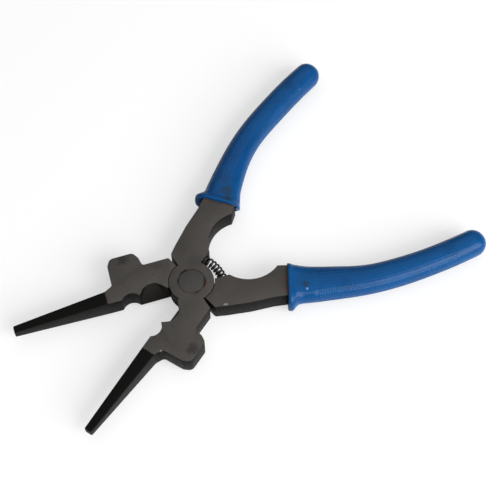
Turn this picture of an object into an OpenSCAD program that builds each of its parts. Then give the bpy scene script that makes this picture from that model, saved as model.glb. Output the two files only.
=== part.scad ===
// Welding pliers: two crossed steel halves turn on one flush rivet, a coil spring between
// the handles opens them, and a moulded sleeve covers each handle.
// Frame: millimetres, origin on the pivot axis at the underside of the joint, +X along the
// line that halves the opening and towards the handles, +Z up.
// Outlines are drawn for the closed tool, where the jaws meet on the line y = 0, and each
// half is then turned open by half_open.

/* [Joint] */
// Thickness of the steel at the joint
steel_t = 9.5; // [9:0.1:11]
// Radius of the round boss of each half
boss_r = 10; // [9.6:0.1:10.4]
// Half of the angle between the jaws, as shown
half_open = 20; // [4:0.5:22]
// Gap between the two lapped faces
lap_gap = 0.1; // [0.06:0.02:0.2]
// Gap between a boss and the shoulder that turns round it
boss_gap = 0.3; // [0.2:0.05:0.5]

/* [Rivet] */
// Radius of the rivet's shank
shank_r = 3.5; // [3:0.1:4]
// Radius of each flush rivet head
head_r = 5.8; // [5:0.1:6.5]
// Height of each rivet head
head_h = 1.8; // [1.2:0.1:2.5]
// Radial gap round each rivet head
head_gap = 0.15; // [0.1:0.05:0.3]
// Radial running clearance of the shank in the rear half
run_gap = 0.05; // [0.02:0.01:0.1]

/* [Jaws] */
// Distance from the pivot to the tips
nose_len = 79.8; // [70:0.1:90]
// Distance from the pivot to the start of the tapered noses
nose_start = 37.6; // [36:0.2:40]
// Width of one nose where its taper starts
nose_root_w = 6.4; // [5.5:0.1:8]
// Width of one nose at the tip
nose_tip_w = 3.4; // [2.5:0.1:5]
// Thickness of the noses at the tips
nose_tip_t = 3.8; // [2.5:0.1:5]
// Distance of each hammer face from the closing line
hammer_reach = 21.5; // [19:0.1:24]
// Distance of the jaw's outer edge at the joint from the closing line
jaw_w = 14.3; // [13:0.1:15]
// Radius of the round notch that grips a nozzle
notch_r = 4.75; // [4.2:0.05:5.5]
// Depth of the round notch in one jaw
notch_depth = 2.2; // [1.5:0.1:3]
// Depth of the wire cutter's bevel at the top face
bevel_depth = 4.2; // [3.5:0.1:5.5]
// Air left between the closed jaws, on each side of the closing line
closing_gap = 0.05; // [0.02:0.01:0.1]

/* [Handles] */
// Distance of the flat spring face from the closing line
spring_face_y = 1.8; // [1.4:0.1:2.4]
// Radius of the arch between the spring face and the sleeve
arch_r = 15.6; // [15:0.1:16]
// Thickness of the steel at the end of the tang
tang_t = 6.8; // [5:0.1:8]
// Width of the steel where it enters the sleeve
neck_w = 14.2; // [13.6:0.1:15]
// Width of the steel at the end of the tang
tang_w = 9; // [7:0.1:9.4]

/* [Spring] */
// Wire diameter of the opening spring
wire_d = 0.75; // [0.5:0.05:0.9]
// Outer diameter of the spring
spring_od = 4.4; // [3.8:0.1:4.5]
// Number of turns from pocket to pocket
spring_turns = 11; // [8:1:11]
// Diameter of the drilled spring pockets
pocket_d = 4.7; // [4.6:0.1:4.8]
// Depth of each spring pocket
pocket_depth = 4; // [3:0.1:5]
// Distance of the pockets from the pivot
pocket_x = 14.2; // [13.4:0.1:14.4]

/* [Sleeves] */
// Width of a sleeve over most of its length
sleeve_w = 12.5; // [12.2:0.1:15]
// Thickness of a sleeve over most of its length
sleeve_t = 12; // [11:0.1:14]
// How far the thumb guard stands out beyond the sleeve's side
guard_h = 3.6; // [2:0.1:6]
// How far the collar stands out on the inner side
collar_h = 2.5; // [0.5:0.1:3.5]

/* [Hidden] */

steel_colour = "#4d4945";
rivet_colour = "#45413e";
spring_colour = "#17181a";
sleeve_colour = "#1f5c9e";

round_fn = 96;
over = 1;
mid_z = steel_t / 2;

// Plan of the jaw: corners as [x, y, rounding radius]
jaw_corners = [
    [-2, -closing_gap, 0],
    [-3, -6.4, 0],
    [-6.6, -jaw_w, 0.8],
    [-18.6, -jaw_w, 1.2],
    [-19.5, -18.6, 2.6],
    [-21.4, -hammer_reach, 2.2],
    [-32, -hammer_reach, 2.8],
    [-33.7, -18, 1.8],
    [-34, -8.2, 1.8],
    [-nose_start, -nose_root_w, 3],
    [-nose_len, -nose_tip_w, 0.8],
    [-nose_len, -closing_gap, 0.3]
];

// Plan of the bare handle, from inside the boss to the sleeve's mouth
handle_corners = [
    [2.3, 7.1, 0],
    [5, spring_face_y, 0],
    [17.4, spring_face_y, 0.4],
    [39, 4, 1.4],
    [43.4, 5.2, 0],
    [44.4, 8, 0],
    [40, 19.6, 0],
    [32.6, 18.4, 12],
    [22, 17.8, 12],
    [10.6, 16.2, 6],
    [6.2, 15.3, 1.2]
];

// Centre of the arch, and of the nozzle notch
arch_centre = [28.8, -8.3];
notch_centre = [-27.6, notch_r - notch_depth];

// Top outline of the cutter's bevel, from the boss to the hook at the notch
bevel_corners = [
    [-10.8, 1, 0],
    [-10.8, 0.2, 0],
    [-13.5, -2.6, 0.8],
    [-15.8, -bevel_depth, 2.2],
    [-18.6, -bevel_depth, 1.8],
    [-21.3, -3, 2.5],
    [-23.7, 0, 0],
    [-23.7, 1, 0]
];

// Middle line of a sleeve and its tang: a cubic curve through its first and last point
sleeve_curve = [[40.1, 12.5], [66, 23.3], [100, 23.1], [133.2, 16.2]];
tang_start = 0.02;
tang_end = 0.93;

// The steel gets thinner and narrower inside the sleeve, most of all over its first part
neck_x = 41.5;
neck_run = 8;
neck_share = 0.7;
neck_fade = 8;
tang_steps = 16;

// Sleeve sections as [place along the curve, part of the guard, part of the collar, flare, bead]
sleeve_sections = [
    [0.005, 0.92, 0.88, 3.0, 0.2],
    [0.010, 1.00, 1.00, 3.0, 0.6],
    [0.018, 1.00, 1.00, 3.0, 0.7],
    [0.027, 0.98, 0.95, 3.0, 0.5],
    [0.035, 0.86, 0.88, 3.0, 0.15],
    [0.047, 0.48, 0.82, 3.0, 0.0],
    [0.062, 0.14, 0.76, 3.0, 0.0],
    [0.085, 0.02, 0.62, 3.0, 0.0],
    [0.120, 0.00, 0.48, 2.7, 0.0],
    [0.160, 0.00, 0.44, 2.1, 0.0],
    [0.210, 0.00, 0.36, 1.5, 0.0],
    [0.270, 0.00, 0.18, 1.2, 0.0],
    [0.340, 0.00, 0.02, 0.9, 0.0],
    [0.420, 0.00, 0.00, 0.6, 0.0],
    [0.500, 0.00, 0.00, 0.4, 0.0],
    [0.600, 0.00, 0.00, 0.2, 0.0],
    [0.700, 0.00, 0.00, 0.0, 0.0],
    [0.800, 0.00, 0.00, 0.0, 0.0],
    [0.880, 0.00, 0.00, 0.0, 0.0],
    [0.940, 0.00, 0.00, -0.2, 0.0]
];
sleeve_end = 0.94;
sleeve_sides = 32;
cap_rings = 6;

// The section is squarer round the steel at the mouth, and oval from square_end on
mouth_square = 3;
body_square = 2.25;
square_end = 0.06;

// The mouth isn't square to the middle line: it leans by mouth_lean, which fades out by lean_end
mouth_lean = 6.5;
lean_end = 0.12;

// Spring path: straight in both pockets, and an arc between their mouths
mouth_y = pocket_x * sin(half_open) + spring_face_y * cos(half_open);
mouth_x = pocket_x * cos(half_open) - spring_face_y * sin(half_open);
path_r = mouth_y / sin(half_open);
path_centre_x = mouth_x - path_r * cos(half_open);
arc_half = path_r * half_open * PI / 180;
path_half = arc_half + pocket_depth;
wound_half = path_half - wire_d;
coil_r = (spring_od - wire_d) / 2;
rings_per_turn = 8;
wire_sides = 6;

function xy(p) = [p[0], p[1]];
function unit(v) = v / norm(v);

// One corner as points: itself, or an arc of radius p[2] that meets both edges
function corner(a, p, b) =
    p[2] == 0 ? [xy(p)] :
    let (
        to_a = unit(xy(a) - xy(p)),
        to_b = unit(xy(b) - xy(p)),
        half_angle = acos(to_a * to_b) / 2,
        centre = xy(p) + unit(to_a + to_b) * p[2] / sin(half_angle),
        from = xy(p) + to_a * p[2] / tan(half_angle) - centre,
        to = xy(p) + to_b * p[2] / tan(half_angle) - centre,
        start = atan2(from[1], from[0]),
        turn = atan2(cross(from, to), from * to),
        steps = max(2, ceil(abs(turn) / 9))
    )
    [for (i = [0:steps]) centre + p[2] * [cos(start + turn * i / steps), sin(start + turn * i / steps)]];

function rounded(corners) =
    let (n = len(corners))
    [for (i = [0:n - 1]) each corner(corners[(i + n - 1) % n], corners[i], corners[(i + 1) % n])];

// Point and direction on a cubic curve c at u
function curve_point(c, u) =
    c[0] * pow(1 - u, 3) + c[1] * 3 * u * pow(1 - u, 2) + c[2] * 3 * u * u * (1 - u) + c[3] * pow(u, 3);
function curve_way(c, u) =
    unit((c[1] - c[0]) * pow(1 - u, 2) + (c[2] - c[1]) * 2 * u * (1 - u) + (c[3] - c[2]) * u * u);

// Side face of the tang: half its width away from the middle line
function tang_side(u, side) =
    let (way = curve_way(sleeve_curve, u), half_w = (tang_w + (neck_w - tang_w) * pow(1 - u, neck_fade)) / 2)
    curve_point(sleeve_curve, u) + side * half_w * [-way[1], way[0]];

// Faces of a closed tube of rings, with the same number of points in each ring
function tube_faces(rings, sides) = [
    for (r = [0:rings - 2], s = [0:sides - 1])
        let (a = r * sides + s, b = r * sides + (s + 1) % sides)
        each [[a, b, b + sides], [a, b + sides, a + sides]],
    for (s = [1:sides - 2]) [0, s + 1, s],
    for (s = [1:sides - 2]) let (e = (rings - 1) * sides) [e, e + s, e + s + 1]
];

// Spring path at distance d from its middle: place, and way towards the front half
function path_place(d) =
    let (turned = min(half_open, abs(d) / path_r * 180 / PI), rest = max(0, abs(d) - arc_half))
    [
        path_centre_x + path_r * cos(turned) - rest * sin(half_open),
        sign(d) * (path_r * sin(turned) + rest * cos(half_open))
    ];
function path_way(d) =
    let (turned = min(half_open, abs(d) / path_r * 180 / PI))
    [-sign(d) * sin(turned), cos(turned)];

// Wire centre at distance d along the spring path, wound at angle a
function wire_place(d, a) =
    let (c = path_place(d), w = path_way(d))
    [c[0] + coil_r * cos(a) * w[1], c[1] - coil_r * cos(a) * w[0], mid_z + coil_r * sin(a)];

spring_rings = spring_turns * rings_per_turn;
coil_points = [
    for (i = [0:spring_rings])
        wire_place(wound_half * (2 * i / spring_rings - 1), 360 * i / rings_per_turn)
];
last_a = 360 * spring_turns;
wire_points = concat(
    [wire_place(-path_half, 0), wire_place(-path_half + wire_d * 0.2, 0)],
    coil_points,
    [wire_place(path_half - wire_d * 0.2, last_a), wire_place(path_half, last_a)]
);

function wire_way(i) =
    let (n = len(wire_points))
    i <= 1 ? unit(wire_points[1] - wire_points[0]) :
    i >= n - 2 ? unit(wire_points[n - 1] - wire_points[n - 2]) :
    unit(wire_points[i + 1] - wire_points[i - 1]);

function wire_ring(i) =
    let (
        way = wire_way(i),
        across = unit(cross(way, [0.31, 0.17, 0.93])),
        up = cross(way, across)
    )
    [for (s = [0:wire_sides - 1])
        wire_points[i] + wire_d / 2 * (cos(s * 360 / wire_sides) * across + sin(s * 360 / wire_sides) * up)];

// Least air between turns: nearest pair of wire centres most of a turn apart, less the wire
coil_gap = min([
    for (i = [0:spring_rings - 6], j = [i + 6:min(spring_rings, i + 12)])
        norm(coil_points[i] - coil_points[j])
]) - wire_d;
echo(least_spring_gap = coil_gap);

function eased(x, square) = sign(x) * pow(abs(x), 2 / square);

// One sleeve ring across the middle line, leaning near the mouth
function sleeve_ring(u, guard, collar, flare, bead, scale_by) =
    let (
        c = curve_point(sleeve_curve, u),
        way = curve_way(sleeve_curve, u),
        lean = mouth_lean * max(0, 1 - u / lean_end),
        out = [sin(lean) * way[0] - cos(lean) * way[1], sin(lean) * way[1] + cos(lean) * way[0]],
        inner_w = (sleeve_w + flare) / 2 + collar * collar_h,
        outer_w = (sleeve_w + flare) / 2 + guard * guard_h,
        half_t = sleeve_t / 2 + bead,
        square = body_square + (mouth_square - body_square) * max(0, 1 - u / square_end)
    )
    [for (s = [0:sleeve_sides - 1])
        let (
            a = 360 * s / sleeve_sides,
            across = eased(cos(a), square) * scale_by * (cos(a) > 0 ? outer_w : inner_w),
            up = eased(sin(a), square) * scale_by * half_t
        )
        [c[0] + out[0] * across, c[1] + out[1] * across, mid_z + up]];

last_flare = sleeve_sections[len(sleeve_sections) - 1][3];
sleeve_rings = [
    for (s = sleeve_sections) sleeve_ring(s[0], s[1], s[2], s[3], s[4], 1),
    for (i = [1:cap_rings])
        let (a = 88 * i / cap_rings, u = sleeve_end + (1 - sleeve_end) * sin(a))
        sleeve_ring(u, 0, 0, last_flare, 0, cos(a))
];

// Half of the tool, drawn closed. The front half has its boss above the lap, the rear one below
module half_steel(boss_up) {
    lap_z = mid_z + (boss_up ? 1 : -1) * lap_gap / 2;
    boss_z = boss_up ? lap_z : 0;
    recess_z = boss_up ? -over : lap_z;
    boss_h = mid_z - lap_gap / 2;
    recess_h = mid_z + lap_gap / 2 + over;
    difference() {
        union() {
            intersection() {
                half_plan();
                half_side();
            }
            translate([0, 0, boss_z]) cylinder(h = boss_h, r = boss_r, $fn = round_fn);
        }
        translate([0, 0, recess_z]) cylinder(h = recess_h, r = boss_r + boss_gap, $fn = round_fn);
        translate([arch_centre[0], arch_centre[1], -over])
            cylinder(h = steel_t + 2 * over, r = arch_r, $fn = round_fn);
        translate([notch_centre[0], notch_centre[1], -over])
            cylinder(h = steel_t + 2 * over, r = notch_r, $fn = round_fn);
        cutter_bevel();
        spring_pocket();
        rivet_hole(boss_up);
    }
}

// Outline of the half seen from above, jaw and handle with its tang
module half_plan() {
    linear_extrude(steel_t) polygon(rounded(jaw_corners));
    linear_extrude(steel_t) polygon(rounded(handle_corners));
    tang_step = (tang_end - tang_start) / tang_steps;
    linear_extrude(steel_t) polygon(concat(
        [for (i = [0:tang_steps]) tang_side(tang_start + tang_step * i, 1)],
        [for (i = [tang_steps:-1:0]) tang_side(tang_start + tang_step * i, -1)]
    ));
}

// Outline of the half seen from the side: the nose and the tang get thinner
module half_side() {
    tip_z = (steel_t - nose_tip_t) / 2;
    tang_z = (steel_t - tang_t) / 2;
    end_x = sleeve_curve[3][0];
    reach = 2 * hammer_reach;
    edge = [
        [-nose_len - over, tip_z],
        [-nose_start, 0],
        [neck_x, 0],
        [neck_x + neck_run, tang_z * neck_share],
        [end_x, tang_z]
    ];
    translate([0, reach, 0]) rotate([90, 0, 0]) linear_extrude(2 * reach)
        polygon(concat(edge, [for (i = [len(edge) - 1:-1:0]) [edge[i][0], steel_t - edge[i][1]]]));
}

// The cutter's single bevel: it leaves the edge at the underside and opens to the top
module cutter_bevel() {
    past = boss_r / 2;
    top = steel_t + over;
    intersection() {
        linear_extrude(top) polygon(rounded(bevel_corners));
        translate([-nose_start, 0, 0]) rotate([90, 0, 90]) linear_extrude(nose_start)
            polygon([[-closing_gap, 0], [past, 0], [past, top], [-bevel_depth * top / steel_t, top]]);
    }
}

module spring_pocket() {
    translate([pocket_x, spring_face_y + pocket_depth, mid_z]) rotate([90, 0, 0])
        cylinder(h = pocket_depth + over, d = pocket_d, $fn = round_fn);
}

// The rivet is tight in the front half and runs free in the rear one
module rivet_hole(boss_up) {
    bore_r = boss_up ? shank_r : shank_r + run_gap;
    seat_gap = boss_up ? 0 : run_gap;
    seat_z = boss_up ? steel_t - head_h : -over;
    translate([0, 0, -over]) cylinder(h = steel_t + 2 * over, r = bore_r, $fn = round_fn);
    translate([0, 0, seat_z])
        cylinder(h = head_h + over + seat_gap, r = head_r + head_gap, $fn = round_fn);
}

module sleeve_solid() {
    polyhedron(
        points = [for (r = sleeve_rings) each r],
        faces = tube_faces(len(sleeve_rings), sleeve_sides),
        convexity = 4
    );
}

// Sleeve of one half, hollow where the steel goes in
module sleeve() {
    difference() {
        sleeve_solid();
        intersection() {
            half_plan();
            half_side();
        }
    }
}

module front_half() {
    color(steel_colour) rotate(half_open) half_steel(true);
}

module rear_half() {
    color(steel_colour) rotate(-half_open) mirror([0, 1, 0]) half_steel(false);
}

module pivot_rivet() {
    color(rivet_colour) {
        cylinder(h = steel_t, r = shank_r, $fn = round_fn);
        cylinder(h = head_h, r = head_r, $fn = round_fn);
        translate([0, 0, steel_t - head_h]) cylinder(h = head_h, r = head_r, $fn = round_fn);
    }
}

module return_spring() {
    color(spring_colour) polyhedron(
        points = [for (i = [0:len(wire_points) - 1]) each wire_ring(i)],
        faces = tube_faces(len(wire_points), wire_sides),
        convexity = 10
    );
}

module front_sleeve() {
    color(sleeve_colour) rotate(half_open) sleeve();
}

module rear_sleeve() {
    color(sleeve_colour) rotate(-half_open) mirror([0, 1, 0]) sleeve();
}

front_half();
rear_half();
pivot_rivet();
return_spring();
front_sleeve();
rear_sleeve();
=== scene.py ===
import math
import bmesh
import bpy
from mathutils import Matrix, Vector


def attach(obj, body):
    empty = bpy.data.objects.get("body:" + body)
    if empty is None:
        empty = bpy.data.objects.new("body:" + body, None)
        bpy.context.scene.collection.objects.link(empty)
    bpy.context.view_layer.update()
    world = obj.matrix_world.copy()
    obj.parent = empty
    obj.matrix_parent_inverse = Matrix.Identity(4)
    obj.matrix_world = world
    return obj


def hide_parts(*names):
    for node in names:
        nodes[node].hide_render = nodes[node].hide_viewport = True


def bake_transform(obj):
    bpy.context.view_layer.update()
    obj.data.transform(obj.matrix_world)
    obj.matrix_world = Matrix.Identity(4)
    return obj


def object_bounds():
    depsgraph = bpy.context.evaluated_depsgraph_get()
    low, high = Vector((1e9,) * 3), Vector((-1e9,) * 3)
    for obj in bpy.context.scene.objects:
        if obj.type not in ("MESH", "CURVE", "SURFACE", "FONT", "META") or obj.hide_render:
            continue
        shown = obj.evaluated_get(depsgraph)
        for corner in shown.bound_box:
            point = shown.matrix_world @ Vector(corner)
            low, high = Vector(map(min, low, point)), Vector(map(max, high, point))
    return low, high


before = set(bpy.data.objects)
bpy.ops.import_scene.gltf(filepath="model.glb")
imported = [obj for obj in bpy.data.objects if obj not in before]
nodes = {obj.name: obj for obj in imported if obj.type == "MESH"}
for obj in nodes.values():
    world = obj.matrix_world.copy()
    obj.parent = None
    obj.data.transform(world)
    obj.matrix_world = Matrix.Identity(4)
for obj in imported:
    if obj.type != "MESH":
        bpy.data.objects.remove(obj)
cad_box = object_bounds()
mm = 0.001
# Each half is turned open by half_open, and the joint stands on z = 0
half_open = math.radians(20)
top_z = 9.5 * mm
mid_z = top_z / 2

# Camera
# A long lens looks down on the pliers from beside the noses, so that the pivot and the
# open handles fall where the photograph has them.
azimuth, elevation = math.radians(-37.5), math.radians(60.8)
picture_px, focal_px = 500, 1148
pivot_px = (191.5, 281.1)
camera_away = 505.8 * mm
back = Vector((math.sin(azimuth) * math.cos(elevation),
               -math.cos(azimuth) * math.cos(elevation), math.sin(elevation)))
right = (-back).cross(Vector((0, 0, 1))).normalized()
up = right.cross(-back)
from_middle = ((pivot_px[0] - picture_px / 2) / focal_px * right
               - (pivot_px[1] - picture_px / 2) / focal_px * up)
pivot_top = Vector((0, 0, top_z))
bpy.ops.object.camera_add(location=pivot_top - camera_away * (from_middle - back))
camera = bpy.context.object
camera.rotation_euler = (-back).to_track_quat("-Z", "Y").to_euler()
camera.data.sensor_width = 36
camera.data.lens = camera.data.sensor_width * focal_px / picture_px
camera.data.clip_start, camera.data.clip_end = 0.01, 20
bpy.context.scene.camera = camera
bpy.context.scene.view_settings.view_transform = "Standard"

# Floor and lights
# White paper under the tool, one soft box high over it, two in front of it of which one
# stands low, and an even grey room. Half of what the camera sees of the paper is plain white.
bpy.ops.mesh.primitive_plane_add(size=6, location=(0, 0, cad_box[0].z - 0.1 * mm))
floor = bpy.context.object
floor.name = "floor"
paper = bpy.data.materials.new("white_paper")
paper.use_nodes = True
tree = paper.node_tree
paper_shader = tree.nodes["Principled BSDF"]
paper_shader.inputs["Roughness"].default_value = 0.9
paper_shader.inputs["Specular IOR Level"].default_value = 0.1
paper_shader.inputs["Base Color"].default_value = (0.92, 0.92, 0.92, 1)
seen = tree.nodes.new("ShaderNodeLightPath")
half_seen = tree.nodes.new("ShaderNodeMath")
half_seen.operation = "MULTIPLY"
half_seen.inputs[1].default_value = 0.5
white = tree.nodes.new("ShaderNodeEmission")
both = tree.nodes.new("ShaderNodeMixShader")
tree.links.new(seen.outputs["Is Camera Ray"], half_seen.inputs[0])
tree.links.new(half_seen.outputs[0], both.inputs["Fac"])
tree.links.new(paper_shader.outputs["BSDF"], both.inputs[1])
tree.links.new(white.outputs["Emission"], both.inputs[2])
tree.links.new(both.outputs["Shader"], tree.nodes["Material Output"].inputs["Surface"])
floor.data.materials.append(paper)

room = bpy.data.worlds.new("room")
room.use_nodes = True
room.node_tree.nodes["Background"].inputs["Color"].default_value = (1, 1, 1, 1)
room.node_tree.nodes["Background"].inputs["Strength"].default_value = 0.24
bpy.context.scene.world = room


def soft_box(name, place, size, power):
    bpy.ops.object.light_add(type="AREA", location=place)
    lamp = bpy.context.object
    lamp.name = name
    lamp.rotation_euler = (-Vector(place)).to_track_quat("-Z", "Y").to_euler()
    lamp.data.shape = "RECTANGLE"
    lamp.data.size, lamp.data.size_y = size
    lamp.data.energy = power


soft_box("top_box", (0.10, 0.20, 1.00), (1.6, 1.6), 5.2)
soft_box("front_box", (0.22, -1.24, 0.98), (1.5, 0.8), 23.5)
soft_box("low_box", (0.35, -1.36, 0.45), (1.6, 0.3), 13)

# Steel halves
# Two forged steel halves, ground flat on both faces and lapped at the joint. Their sides
# keep the dark forged skin and the tapered noses are blackened. Every long edge is eased.
nose_edges_to = -36.4 * mm
nose_radius, edge_radius = 0.4 * mm, 0.18 * mm
rivet_clear = 6.5 * mm
sharp_angle = math.radians(30)
# For the colour: places in millimetres on the closed tool, and how far up a face looks
rim_r, oxide_from, oxide_full = 6.0, -37.4, -37.9
flat_from, sloped_from = 0.97, 0.12
# A spot is at its full strength within this share of its radius
full_within = 0.2


def new_material(name, metallic, specular):
    material = bpy.data.materials.new(name)
    material.use_nodes = True
    shader = material.node_tree.nodes["Principled BSDF"]
    shader.inputs["Metallic"].default_value = metallic
    shader.inputs["Specular IOR Level"].default_value = specular
    return material, material.node_tree, shader


def paint(obj, material):
    obj.data.materials.clear()
    obj.data.materials.append(material)


def math_node(tree, operation, *values):
    node = tree.nodes.new("ShaderNodeMath")
    node.operation = operation
    for socket, value in zip(node.inputs, values):
        if isinstance(value, (int, float)):
            socket.default_value = value
        else:
            tree.links.new(value, socket)
    return node.outputs[0]


def vector_node(tree, operation, value, other=(0, 0, 0)):
    node = tree.nodes.new("ShaderNodeVectorMath")
    node.operation = operation
    node.inputs[1].default_value = other
    tree.links.new(value, node.inputs[0])
    return node


def ramp(tree, value, start, stop, most=1, kind="LINEAR"):
    """Climbs from 0 where value is start to most where it is stop."""
    node = tree.nodes.new("ShaderNodeMapRange")
    node.interpolation_type = kind
    node.inputs["From Min"].default_value = start
    node.inputs["From Max"].default_value = stop
    node.inputs["To Max"].default_value = most
    tree.links.new(value, node.inputs["Value"])
    return node.outputs["Result"]


def mixed(tree, factor, a, b):
    """Colour a where factor is 0 and colour b where it is 1."""
    node = tree.nodes.new("ShaderNodeMix")
    node.data_type = "RGBA"
    for side, value in (("Factor", factor), ("A", a), ("B", b)):
        socket = node.inputs[side]
        if isinstance(value, tuple):
            socket.default_value = (*value, 1)
        elif isinstance(value, (int, float)):
            socket.default_value = value
        else:
            tree.links.new(value, socket)
    return node.outputs["Result"]


def own_place(tree, turned, mirrored):
    """The place on the closed tool, in millimetres, of a half that is turned open."""
    place = tree.nodes.new("ShaderNodeTexCoord")
    turn = tree.nodes.new("ShaderNodeVectorRotate")
    turn.rotation_type = "Z_AXIS"
    turn.inputs["Angle"].default_value = turned
    tree.links.new(place.outputs["Object"], turn.inputs["Vector"])
    in_mm = (1 / mm, (-1 if mirrored else 1) / mm, 1 / mm)
    return vector_node(tree, "MULTIPLY", turn.outputs["Vector"], in_mm).outputs["Vector"]


def noise(tree, place, scale, detail, stretch=(1, 1, 1)):
    """Noise from 0 to 1 whose grain is about 1/scale mm, longer where stretch is small."""
    stretched = vector_node(tree, "MULTIPLY", place, stretch)
    node = tree.nodes.new("ShaderNodeTexNoise")
    node.inputs["Scale"].default_value = scale
    node.inputs["Detail"].default_value = detail
    tree.links.new(stretched.outputs["Vector"], node.inputs["Vector"])
    return node.outputs["Fac"]


def spot(tree, place, ragged, centre, radius, strength):
    """A soft ragged mask round one place on the closed tool, in millimetres."""
    apart = vector_node(tree, "DISTANCE", place, centre).outputs["Value"]
    uneven = math_node(tree, "MULTIPLY_ADD", ragged, radius, -radius / 2)
    reach = math_node(tree, "ADD", apart, uneven)
    return ramp(tree, reach, radius, radius * full_within, strength, "SMOOTHSTEP")


def spotted(tree, place, ragged, colour, spots, tint):
    """The colour with a patch of the tint at each of the spots."""
    for centre, radius, strength in spots:
        colour = mixed(tree, spot(tree, place, ragged, centre, radius, strength), colour, tint)
    return colour


def rim_dirt(tree, ragged, radius):
    """A mask along a circle round the pivot, in millimetres, where dirt fills the rivet's rim."""
    width, thinly = 0.8, 0.12
    patches = [((-0.6, 6.3, 9.5), 3.4, 0.95), ((-4.6, 3.7, 9.5), 2.0, 0.7),
               ((4.2, -4.0, 9.5), 3.6, 0.85), ((-1.2, -5.6, 9.5), 2.0, 0.6)]
    place = own_place(tree, 0, False)
    flat = vector_node(tree, "MULTIPLY", place, (1, 1, 0)).outputs["Vector"]
    away = vector_node(tree, "LENGTH", flat).outputs["Value"]
    off = math_node(tree, "ABSOLUTE", math_node(tree, "SUBTRACT", away, radius))
    filled = thinly
    for centre, reach, strength in patches:
        filled = math_node(tree, "ADD", filled, spot(tree, place, ragged, centre, reach, strength))
    return math_node(tree, "MULTIPLY", ramp(tree, off, width, width * full_within),
                     math_node(tree, "MINIMUM", filled, 1))


def add_bump(tree, shader, height, distance, strength):
    node = tree.nodes.new("ShaderNodeBump")
    node.inputs["Distance"].default_value = distance
    node.inputs["Strength"].default_value = strength
    tree.links.new(height, node.inputs["Height"])
    tree.links.new(node.outputs["Normal"], shader.inputs["Normal"])


def steel(name, turned, mirrored, smudges, rust, glints):
    """Steel by the way a face points: ground when flat, dark skin on the sides, black noses."""
    material, tree, shader = new_material(name, 0.3, 0.08)
    place = own_place(tree, turned, mirrored)
    along = tree.nodes.new("ShaderNodeSeparateXYZ")
    tree.links.new(place, along.inputs[0])
    facing = tree.nodes.new("ShaderNodeNewGeometry")
    facing_z = tree.nodes.new("ShaderNodeSeparateXYZ")
    tree.links.new(facing.outputs["True Normal"], facing_z.inputs[0])
    upright = math_node(tree, "ABSOLUTE", facing_z.outputs["Z"])
    ground = math_node(tree, "GREATER_THAN", upright, flat_from)
    sloped = math_node(tree, "GREATER_THAN", upright, sloped_from)
    cloudy = noise(tree, place, 0.12, 3)
    ragged = noise(tree, place, 0.6, 4)
    grinding = noise(tree, place, 1, 3, (0.09, 7, 1))
    skin = noise(tree, place, 1.6, 5)

    flecks = ramp(tree, noise(tree, place, 0.8, 3), 0.64, 0.74, 0.55)
    ground_colour = mixed(tree, cloudy, (0.062, 0.057, 0.053), (0.092, 0.085, 0.079))
    ground_colour = mixed(tree, math_node(tree, "MULTIPLY", grinding, 0.35), ground_colour,
                          (0.037, 0.034, 0.031))
    ground_colour = mixed(tree, math_node(tree, "MULTIPLY", skin, 0.3), ground_colour,
                          (0.044, 0.041, 0.038))
    ground_colour = mixed(tree, flecks, ground_colour, (0.032, 0.028, 0.024))
    side_colour = mixed(tree, skin, (0.003, 0.003, 0.0028), (0.0085, 0.0083, 0.0078))
    worn_colour = mixed(tree, skin, (0.012, 0.011, 0.010), (0.021, 0.020, 0.018))
    colour = mixed(tree, sloped, side_colour, worn_colour)
    colour = mixed(tree, ground, colour, ground_colour)
    colour = spotted(tree, place, ragged, colour, smudges, (0.012, 0.011, 0.010))
    colour = spotted(tree, place, ragged, colour, rust, (0.15, 0.062, 0.026))
    if not mirrored:
        colour = mixed(tree, rim_dirt(tree, ragged, rim_r), colour, (0.022, 0.013, 0.008))
    uneven_x = math_node(tree, "MULTIPLY_ADD", ragged, 0.4, along.outputs["X"])
    black = ramp(tree, uneven_x, oxide_from, oxide_full)
    oxide_side = mixed(tree, skin, (0.006, 0.006, 0.0056), (0.0115, 0.0115, 0.011))
    oxide_flat = mixed(tree, skin, (0.002, 0.002, 0.0018), (0.006, 0.006, 0.0055))
    colour = mixed(tree, black, colour, mixed(tree, ground, oxide_side, oxide_flat))
    colour = spotted(tree, place, ragged, colour, glints, (0.30, 0.29, 0.28))
    tree.links.new(colour, shader.inputs["Base Color"])

    rough = math_node(tree, "ADD", 0.4, math_node(tree, "MULTIPLY", grinding, 0.25))
    tree.links.new(rough, shader.inputs["Roughness"])
    relief = math_node(tree, "ADD", math_node(tree, "MULTIPLY", grinding, ground), skin)
    add_bump(tree, shader, relief, 0.06 * mm, 0.5)
    return material


def pick(obj):
    bpy.ops.object.select_all(action="DESELECT")
    bpy.context.view_layer.objects.active = obj
    obj.select_set(True)


def bevel_where(obj, chosen, offset, segments):
    """Bevels the sharp edges of obj that chosen accepts, given an edge's middle."""
    pick(obj)
    bpy.ops.object.mode_set(mode="EDIT")
    bpy.ops.mesh.select_mode(type="EDGE")
    bpy.ops.mesh.select_all(action="DESELECT")
    mesh = bmesh.from_edit_mesh(obj.data)
    for edge in mesh.edges:
        if len(edge.link_faces) == 2 and edge.calc_face_angle() > sharp_angle:
            a, b = edge.verts
            if chosen((a.co + b.co) / 2):
                edge.select_set(True)
    bmesh.update_edit_mesh(obj.data)
    bpy.ops.mesh.bevel(offset=offset, segments=segments, affect="EDGES", clamp_overlap=True)
    bpy.ops.object.mode_set(mode="OBJECT")


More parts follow.
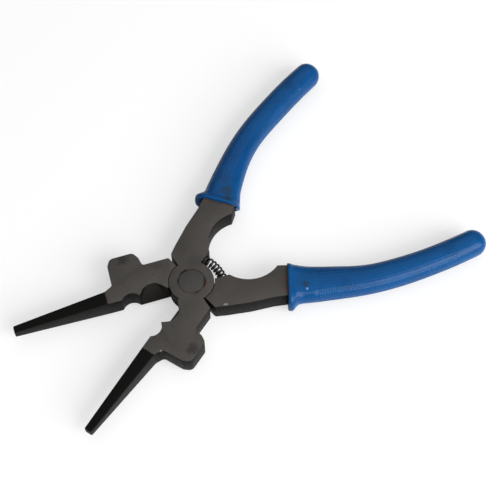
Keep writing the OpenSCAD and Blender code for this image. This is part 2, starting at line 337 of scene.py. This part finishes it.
def eased_copy(name, node):
    """A copy of a CAD node, cleaned of its triangles, in place of the node."""
    obj = nodes[node].copy()
    obj.data = nodes[node].data.copy()
    obj.name = obj.data.name = name
    obj.parent = None
    for key in list(obj.keys()):
        del obj[key]
    bpy.context.collection.objects.link(obj)
    pick(obj)
    bpy.ops.object.mode_set(mode="EDIT")
    bpy.ops.mesh.select_all(action="SELECT")
    bpy.ops.mesh.customdata_custom_splitnormals_clear()
    bpy.ops.mesh.remove_doubles(threshold=0.005 * mm)
    bpy.ops.mesh.normals_make_consistent(inside=False)
    bpy.ops.mesh.dissolve_limited(angle_limit=math.radians(0.5))
    bpy.ops.object.mode_set(mode="OBJECT")
    return obj


def smooth(obj, degrees):
    pick(obj)
    bpy.ops.object.shade_smooth_by_angle(angle=math.radians(degrees))


for name, node, body, turned, smudges, rust, glints in (
    ("front_steel", "front_half", "front_arm", -half_open,
     [((-26.7, -18.5, 9.5), 4.4, 0.5), ((9, 4, 9.5), 5, 0.2)],
     [((38.6, 17.6, 9.5), 1.6, 0.6), ((41.2, 9.0, 9.5), 1.5, 0.4), ((2.4, -5.9, 9.5), 2.4, 0.25),
      ((-9.9, 3.4, 5), 3.5, 0.3)],
     [((-34.9, -7.9, 9.4), 0.8, 0.7), ((-53.2, -5.9, 9.2), 0.7, 0.6)]),
    ("rear_steel", "rear_half", "rear_arm", half_open,
     [((-26.2, -19.6, 9.5), 3.8, 0.5), ((-12, -12, 9.5), 4, 0.2)],
     [((40.2, 11.4, 9.5), 2.2, 0.35), ((38.6, 16.4, 9.5), 2.0, 0.4), ((31, 9, 9.5), 2.0, 0.15)],
     [((10.6, 15.4, 9.4), 0.7, 0.6), ((11.6, 15.5, 9.4), 0.7, 0.6)]),
):
    half = eased_copy(name, node)
    closed = Matrix.Rotation(turned, 3, "Z")
    bevel_where(half, lambda p: (closed @ p).x < nose_edges_to, nose_radius, 3)
    bevel_where(half, lambda p: (closed @ p).x > nose_edges_to and p.xy.length > rivet_clear,
                edge_radius, 2)
    paint(half, steel(name, turned, node == "rear_half", smudges, rust, glints))
    smooth(half, 25)
    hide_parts(node)
    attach(half, body)

# Rivet
# One steel rivet with a flat head let into each face of the joint and ground flush with
# it. Its edge is barely eased, and dirt in the rim draws a broken brown ring round it.
head_edge = 0.09 * mm
head_rim_r = rim_r - 0.1
rivet = eased_copy("rivet", "pivot_rivet")
bevel_where(rivet, lambda p: True, head_edge, 2)
material, tree, shader = new_material("rivet_steel", 0.35, 0.35)
place = own_place(tree, 0, False)
turning = noise(tree, place, 1, 3, (4, 0.5, 1))
colour = mixed(tree, noise(tree, place, 0.3, 3), (0.040, 0.037, 0.034), (0.058, 0.054, 0.050))
dirt_in_rim = rim_dirt(tree, noise(tree, place, 0.6, 4), head_rim_r)
colour = mixed(tree, dirt_in_rim, colour, (0.020, 0.012, 0.008))
tree.links.new(colour, shader.inputs["Base Color"])
rough = math_node(tree, "ADD", 0.35, math_node(tree, "MULTIPLY", turning, 0.25))
tree.links.new(rough, shader.inputs["Roughness"])
add_bump(tree, shader, turning, 0.04 * mm, 0.4)
paint(rivet, material)
smooth(rivet, 25)
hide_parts("pivot_rivet")
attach(rivet, "front_arm")

# Opening spring
# A coil spring of black wire bends between two drilled pockets, one in each handle, and
# pushes the handles apart. It is one wire, wound evenly from pocket to pocket. Its middle
# line is an arc from mouth to mouth of the pockets, and runs straight down into each.
wire_r, coil_r, turns, per_turn = 0.45 * mm, 1.76 * mm, 11, 20
pocket_x, face_y, pocket_depth = 14.2 * mm, 1.8 * mm, 4 * mm
mouth_y = pocket_x * math.sin(half_open) + face_y * math.cos(half_open)
mouth_x = pocket_x * math.cos(half_open) - face_y * math.sin(half_open)
bend_r = mouth_y / math.sin(half_open)
bend_x = mouth_x - bend_r * math.cos(half_open)
path_half = bend_r * half_open + pocket_depth


def along_spring(d):
    """Place on the spring's middle line and the way across it, d from the middle turn."""
    turned = min(half_open, abs(d) / bend_r)
    rest = max(0, abs(d) - bend_r * half_open)
    side = 1 if d > 0 else -1
    place = Vector((bend_x + bend_r * math.cos(turned) - rest * math.sin(half_open),
                    side * (bend_r * math.sin(turned) + rest * math.cos(half_open)), mid_z))
    return place, Vector((math.cos(turned), side * math.sin(turned), 0))


bpy.ops.curve.primitive_nurbs_path_add()
spring = bpy.context.object
spring.name = "coil_spring"
wire = spring.data
wire.splines.clear()
steps = turns * per_turn
full_turns = turns * 2 * math.pi
coil_half = path_half - 2 * wire_r
stops = [(-path_half, 0)]
stops += [(coil_half * (2 * i / steps - 1), full_turns * i / steps) for i in range(steps + 1)]
stops += [(path_half, full_turns)]
winding = wire.splines.new("POLY")
winding.points.add(len(stops) - 1)
for i, (d, angle) in enumerate(stops):
    place, across = along_spring(d)
    place += coil_r * (math.cos(angle) * across + math.sin(angle) * Vector((0, 0, 1)))
    winding.points[i].co = (*place, 1)
wire.dimensions = "3D"
wire.bevel_depth = wire_r
wire.bevel_resolution = 2
wire.use_fill_caps = True
pick(spring)
bpy.ops.object.convert(target="MESH")
material, tree, shader = new_material("spring_wire", 0.2, 0.5)
worn = noise(tree, own_place(tree, 0, False), 1.2, 4)
colour = mixed(tree, worn, (0.008, 0.008, 0.009), (0.022, 0.021, 0.021))
tree.links.new(colour, shader.inputs["Base Color"])
rough = math_node(tree, "ADD", 0.25, math_node(tree, "MULTIPLY", worn, 0.3))
tree.links.new(rough, shader.inputs["Roughness"])
add_bump(tree, shader, worn, 0.02 * mm, 0.3)
paint(spring, material)
smooth(spring, 50)
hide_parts("return_spring")
# The bend takes in the whole coil, whose tilted last turns reach a little past its middle line
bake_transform(spring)

# Handle sleeves
# Blue soft plastic moulded over each handle: a raised rim and a thumb guard at the mouth, a
# collar that narrows into the grip, a fine mesh pressed into the middle and a round end.
# Each has taken its own set in use, and the steel inside it follows.
curve = [Vector(p) * mm for p in ((40.1, 12.5), (66, 23.3), (100, 23.1), (133.2, 16.2))]
sleeve_w, sleeve_t, guard_h, collar_h = 12.5 * mm, 12 * mm, 3.6 * mm, 2.5 * mm
sides = 32
lean_start, lean_end = math.radians(6.5), 0.12
mouth_square, body_square, square_end = 3, 2.25, 0.08
fine_to, sleeve_end = 0.14, 0.94
lattice_rows, cap_rings, cap_turn = 66, 8, math.radians(88)
# Place along the curve, part of the guard, part of the collar, flare and bead in mm
sections = [
    (0.005, 0.92, 0.88, 3.0, 0.2), (0.007, 0.97, 0.95, 3.0, 0.45), (0.010, 1.00, 1.00, 3.0, 0.6),
    (0.014, 1.00, 1.00, 3.0, 0.68), (0.018, 1.00, 1.00, 3.0, 0.7), (0.023, 1.00, 0.98, 3.0, 0.64),
    (0.027, 0.98, 0.95, 3.0, 0.5), (0.031, 0.94, 0.91, 3.0, 0.3), (0.035, 0.86, 0.88, 3.0, 0.15),
    (0.041, 0.68, 0.85, 3.0, 0.05), (0.047, 0.48, 0.82, 3.0, 0.0), (0.054, 0.29, 0.79, 3.0, 0.0),
    (0.062, 0.14, 0.76, 3.0, 0.0), (0.073, 0.06, 0.69, 3.0, 0.0), (0.085, 0.02, 0.62, 3.0, 0.0),
    (0.102, 0.00, 0.54, 2.85, 0.0), (0.120, 0.00, 0.48, 2.7, 0.0), (0.140, 0.00, 0.46, 2.4, 0.0),
    (0.160, 0.00, 0.44, 2.1, 0.0),
    (0.210, 0.00, 0.36, 1.5, 0.0), (0.270, 0.00, 0.18, 1.2, 0.0), (0.340, 0.00, 0.02, 0.9, 0.0),
    (0.420, 0.00, 0.00, 0.6, 0.0), (0.500, 0.00, 0.00, 0.4, 0.0), (0.600, 0.00, 0.00, 0.2, 0.0),
    (0.700, 0.00, 0.00, 0.0, 0.0), (0.880, 0.00, 0.00, 0.0, 0.0), (0.940, 0.00, 0.00, -0.2, 0.0),
]


def on_curve(u):
    """Place on the sleeve's middle line and the way along it."""
    a, b, c, d = curve
    place = a * (1 - u) ** 3 + b * 3 * u * (1 - u) ** 2 + c * 3 * u * u * (1 - u) + d * u ** 3
    way = (b - a) * (1 - u) ** 2 + (c - b) * 2 * u * (1 - u) + (d - c) * u * u
    return place, way.normalized()


def eased(x, square):
    """A cosine or sine of a round outline, moved towards that of a square one."""
    return math.copysign(abs(x) ** (2 / square), x)


def section_ring(u, inner, outer, half_t, square, lean):
    """The points of one ring: inner and outer half widths, half thickness and squareness."""
    middle, way = on_curve(u)
    out = Vector((math.sin(lean) * way.x - math.cos(lean) * way.y,
                  math.sin(lean) * way.y + math.cos(lean) * way.x))
    ring = []
    for s in range(sides):
        angle = 2 * math.pi * s / sides
        across = eased(math.cos(angle), square) * (outer if math.cos(angle) > 0 else inner)
        ring.append(Vector((middle.x + out.x * across, middle.y + out.y * across,
                            mid_z + eased(math.sin(angle), square) * half_t)))
    return ring


def lean_at(u):
    """How far a ring leans back: most at the mouth, and none from lean_end on."""
    return lean_start * max(0, 1 - u / lean_end)


def sleeve_ring(u, guard, collar, flare, bead, scale):
    """One ring of the sleeve's outside, from a row of the table."""
    half_w = (sleeve_w + flare * mm) / 2
    square = body_square + (mouth_square - body_square) * max(0, 1 - u / square_end)
    return section_ring(u, scale * (half_w + collar * collar_h), scale * (half_w + guard * guard_h),
                        scale * (sleeve_t / 2 + bead * mm), square, lean_at(u))


def between(u):
    """The section at u, between two rows of the table."""
    for a, b in zip(sections, sections[1:]):
        if a[0] <= u <= b[0]:
            t = (u - a[0]) / (b[0] - a[0])
            return [p + (q - p) * t for p, q in zip(a, b)]


# The opening follows the steel: one ring hidden inside it, one against it and, at the rim, one
# that leaves a narrow gap beside it
steel_inner, steel_outer, steel_half_t = 8.1 * mm, 7.1 * mm, 4.8 * mm
gap_inner, gap_outer, gap_t = 0.25 * mm, 0.85 * mm, 0.1 * mm
hidden_half_w, hidden_half_t = 5.5 * mm, 3 * mm
hidden_at, against_at, rim_at = 0.035, 0.017, 0.007
square_corner = 14
rings = [section_ring(u, inner, outer, half_t, square_corner, lean_at(u))
         for u, inner, outer, half_t in (
             (hidden_at, hidden_half_w, hidden_half_w, hidden_half_t),
             (against_at, steel_inner, steel_outer, steel_half_t),
             (rim_at, steel_inner + gap_inner, steel_outer + gap_outer, steel_half_t + gap_t))]
rings += [sleeve_ring(*row, 1) for row in sections if row[0] <= fine_to]
rings += [sleeve_ring(*between(fine_to + (sleeve_end - fine_to) * i / lattice_rows), 1)
          for i in range(1, lattice_rows + 1)]
for i in range(1, cap_rings + 1):
    angle = cap_turn * i / cap_rings
    rings.append(sleeve_ring(sleeve_end + (1 - sleeve_end) * math.sin(angle), 0, 0, -0.2, 0,
                             math.cos(angle)))

bpy.ops.object.select_all(action="DESELECT")
bpy.ops.mesh.primitive_circle_add(vertices=sides, radius=10 * mm, fill_type="NOTHING")
sleeve = bpy.context.object
bpy.ops.object.mode_set(mode="EDIT")
mesh = bmesh.from_edit_mesh(sleeve.data)
mesh.verts.ensure_lookup_table()
for vertex, point in zip(mesh.verts, rings[0]):
    vertex.co = point
for before, after in zip(rings, rings[1:]):
    bpy.ops.mesh.extrude_edges_move()
    mesh = bmesh.from_edit_mesh(sleeve.data)
    for vertex in [v for v in mesh.verts if v.select]:
        nearest = min(range(sides), key=lambda i: (before[i] - vertex.co).length_squared)
        vertex.co = after[nearest]
    bmesh.update_edit_mesh(sleeve.data)
bpy.ops.mesh.edge_face_add()
bpy.ops.mesh.poke()
bpy.ops.mesh.select_all(action="SELECT")
bpy.ops.mesh.normals_make_consistent(inside=False)
bpy.ops.object.mode_set(mode="OBJECT")

# The fine mesh is a lattice: each face of the grip is drawn in and pressed down on its own
lattice_from, lattice_to = 0.145, 0.83
press_in, press_down = 0.24 * mm, -0.095 * mm
sample_count = 400
samples = [(i / sample_count, on_curve(i / sample_count)[0]) for i in range(sample_count + 1)]


def nearest_sample(point, chosen):
    """The one of the chosen samples of the middle line that lies nearest to a point."""
    return min(chosen, key=lambda s: (s[1] - point.xy).length_squared)


bpy.ops.object.mode_set(mode="EDIT")
bpy.ops.mesh.select_mode(type="FACE")
bpy.ops.mesh.select_all(action="DESELECT")
mesh = bmesh.from_edit_mesh(sleeve.data)
for face in mesh.faces:
    if lattice_from < nearest_sample(face.calc_center_median(), samples)[0] < lattice_to:
        face.select_set(True)
bmesh.update_edit_mesh(sleeve.data)
bpy.ops.mesh.inset(thickness=press_in, depth=press_down, use_individual=True)
bpy.ops.object.mode_set(mode="OBJECT")


def set_back(obj, most):
    """Draws the lower inner corner of a sleeve's mouth up the handle, by most at the rim."""
    corner_w, corner_t, corner_top = 9 * mm, 8 * mm, mid_z + 3 * mm
    near = [s for s in samples if s[0] <= lean_end]
    for vertex in obj.data.vertices:
        u, middle = nearest_sample(vertex.co, near)
        way = on_curve(u)[1]
        inner = max(0, (vertex.co.xy - middle).dot(Vector((way.y, -way.x)))) / corner_w
        lower = max(0, corner_top - vertex.co.z) / corner_t
        share = min(1, inner) * min(1, lower) * max(0, 1 - u / lean_end)
        vertex.co += Vector((way.x, way.y, 0)) * most * share


def reshape(obj, dents, first):
    """Moves a handle's sides outwards, from the place first on.

    Each dent is its place along the handle, its reach, and how far the inner side and the
    outer side move, in millimetres.
    """
    for vertex in obj.data.vertices:
        u, middle = nearest_sample(vertex.co, samples)
        if u < first:
            continue
        way = on_curve(u)[1]
        out = Vector((-way.y, way.x, 0))
        side = min(1, max(0, 0.5 + (vertex.co.xy - middle).dot(out.xy) / sleeve_w))
        for along, reach, inner, outer in dents:
            share = math.cos(math.pi / 2 * min(1, abs(u - along) / reach)) ** 2
            vertex.co += out * (inner + (outer - inner) * side) * mm * share


def blue_plastic(name, turned, mirrored, painted_light_share, dirt, scrapes_and_glints):
    material, tree, shader = new_material(name, 0, 0.14)
    place = own_place(tree, turned, mirrored)
    ragged = noise(tree, place, 0.7, 4)
    cloudy = noise(tree, place, 0.07, 3)
    streaks = noise(tree, place, 1, 2, (0.02, 1.1, 1.1))
    fine = noise(tree, place, 5, 3)
    colour = mixed(tree, cloudy, (0.001, 0.046, 0.162), (0.002, 0.072, 0.223))
    colour = mixed(tree, math_node(tree, "MULTIPLY", streaks, 0.35), colour,
                   (0.002, 0.038, 0.140))
    grime = ramp(tree, noise(tree, place, 0.2, 5, (0.5, 1, 1)), 0.48, 0.68, 0.4)
    colour = mixed(tree, grime, colour, (0.002, 0.030, 0.105))
    # Painted light: by this share the blue is drawn towards a lighter blue, for the light that
    # falls on the rear sleeve
    colour = mixed(tree, painted_light_share, colour, (0.003, 0.140, 0.380))
    colour = spotted(tree, place, ragged, colour, dirt, (0.012, 0.028, 0.045))
    # Each pale spot is a scrape in the plastic and also a painted highlight, a glint of light on it
    colour = spotted(tree, place, ragged, colour, scrapes_and_glints, (0.35, 0.5, 0.7))
    tree.links.new(colour, shader.inputs["Base Color"])
    rough = math_node(tree, "ADD", 0.13, math_node(tree, "MULTIPLY", cloudy, 0.2))
    tree.links.new(rough, shader.inputs["Roughness"])
    add_bump(tree, shader, fine, 0.05 * mm, 0.25)
    return material


# The steel follows its sleeve's set from a little inside the mouth on. Only the front sleeve's
# lower inner corner at the mouth lies further up the handle.
tang_from = 0.05
# Only the rear sleeve gets a share of painted light in its colour
for name, node, inside, body, turned, uneven, dents, painted_light_share, dirt, scrapes_and_glints in (
    ("front_grip", "front_sleeve", "front_steel", "front_arm", half_open, 3.4 * mm,
     [(0.46, 0.26, 1.0, 0.35), (0.18, 0.26, 0.45, 0), (0.048, 0.03, 0, 0.15)], 0,
     [((44.3, 9.4, 11), 3.2, 0.75), ((47.7, 12.1, 11), 4.6, 0.7), ((52, 17, 11), 4, 0.3)], []),
    ("rear_grip", "rear_sleeve", "rear_steel", "rear_arm", -half_open, 0,
     [(0.26, 0.22, -1.05, -0.35), (0.10, 0.12, -0.25, 0), (0.80, 0.30, 0, -0.22),
      (0.048, 0.03, 0, 0.15)], 0.05,
     [((47.2, 16.9, 11), 2.6, 0.75)],
     [((47.3, 19.2, 10.2), 0.8, 0.5)]),
):
    grip = sleeve.copy()
    grip.data = sleeve.data.copy()
    grip.name = grip.data.name = name
    bpy.context.collection.objects.link(grip)
    set_back(grip, uneven)
    reshape(grip, dents, 0)
    mirrored = node == "rear_sleeve"
    opened = Matrix.Rotation(turned, 4, "Z") @ Matrix.Diagonal((1, -1 if mirrored else 1, 1, 1))
    grip.data.transform(opened)
    tang = bpy.data.objects[inside]
    tang.data.transform(opened.inverted())
    reshape(tang, dents, tang_from)
    tang.data.transform(opened)
    if mirrored:
        grip.data.flip_normals()
    paint(grip, blue_plastic(name, -turned, mirrored, painted_light_share, dirt, scrapes_and_glints))
    smooth(grip, 60)
    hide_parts(node)
    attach(grip, body)
bpy.data.objects.remove(sleeve)
